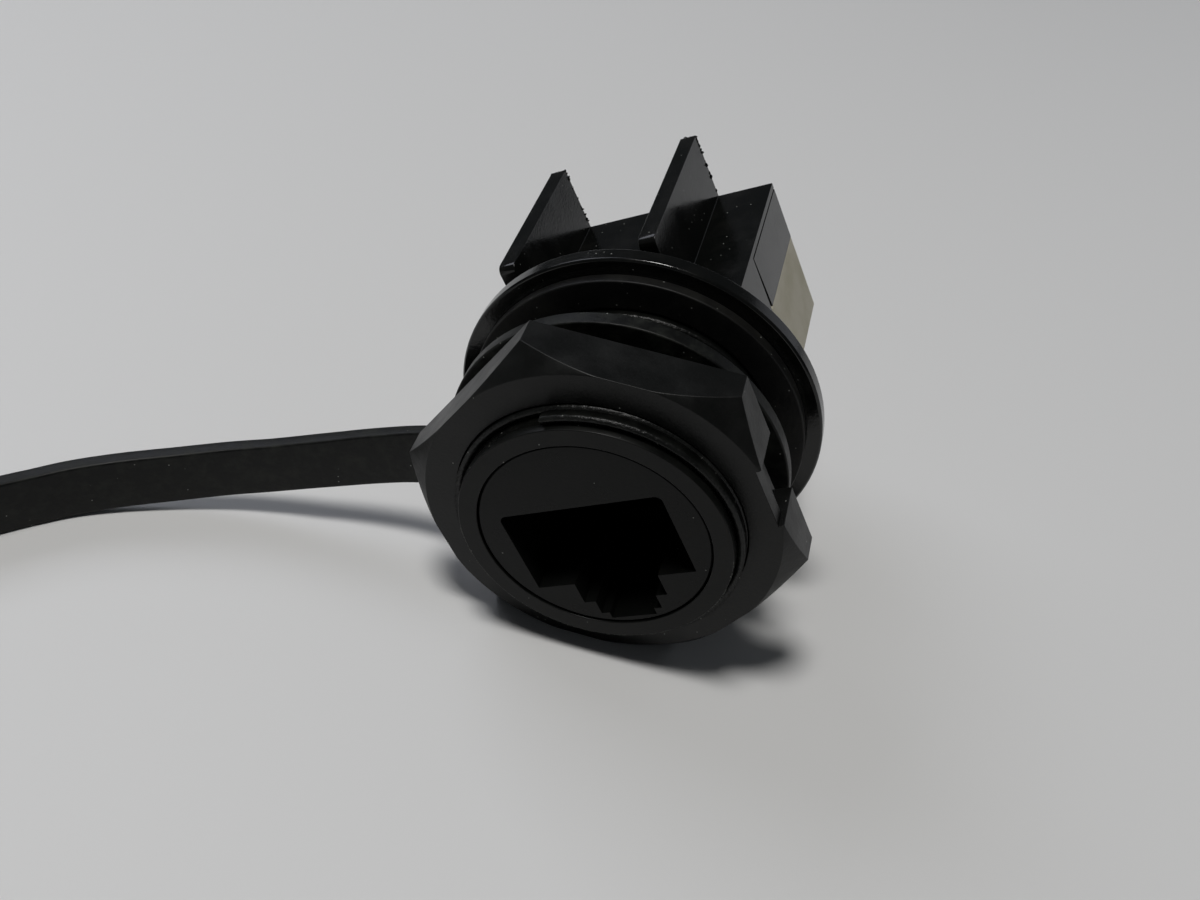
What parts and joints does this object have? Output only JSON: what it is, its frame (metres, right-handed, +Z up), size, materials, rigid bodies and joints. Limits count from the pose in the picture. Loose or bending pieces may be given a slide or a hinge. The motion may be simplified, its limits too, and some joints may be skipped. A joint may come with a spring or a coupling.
{
  "type": "rj45 panel-mount jack",
  "caption": "Sealed panel-mount RJ45 jack with a threaded barrel, lock nut, gasket, finned rear body and a dust cap on a moulded tether.",
  "frame": {"origin": "middle of the port face, on the barrel's axis", "axes": "the connector lies on a level table: +Z is up, +Y runs to the rear along the barrel, whose axis rises towards the rear by the nose-down pitch, and the side away from the latch leans 30 degrees to -X"},
  "size_m": [0.0819, 0.0682, 0.0282],
  "materials": {
    "black_nylon": "semi-gloss moulded black nylon",
    "nut_nylon": "semi-gloss moulded black nylon",
    "insert_plastic": "smooth black moulded plastic",
    "cap_plastic": "satin black plastic",
    "gasket_rubber": "matt black rubber with a little dust",
    "tether_rubber": "soft moulded black elastomer",
    "beige_plastic": "matt warm beige plastic",
    "contact_metal": "gold-plated spring wire"
  },
  "bodies": {
    "jack": {"shell": "black_nylon", "panel_gasket": "gasket_rubber", "tether_ring": "tether_rubber", "tether_strap": "tether_rubber", "dust_cap": "cap_plastic", "cap_seal": "gasket_rubber", "jack_insert": "insert_plastic", "insert_seal": "gasket_rubber", "contact_carrier": "insert_plastic", "rear_module": "black_nylon", "terminal_block": "beige_plastic", "contact_1": "contact_metal", "contact_2": "contact_metal", "contact_3": "contact_metal", "contact_4": "contact_metal", "contact_5": "contact_metal", "contact_6": "contact_metal", "contact_7": "contact_metal", "contact_8": "contact_metal"},
    "nut": {"lock_nut": "nut_nylon"}
  },
  "joints": [
    {"name": "nut_turn", "type": "hinge", "parent": "jack", "child": "nut", "pos_m": [0, 0.0035, 0.0004], "axis": [0, 0.9936, 0.113], "continuous": true}
  ]
}
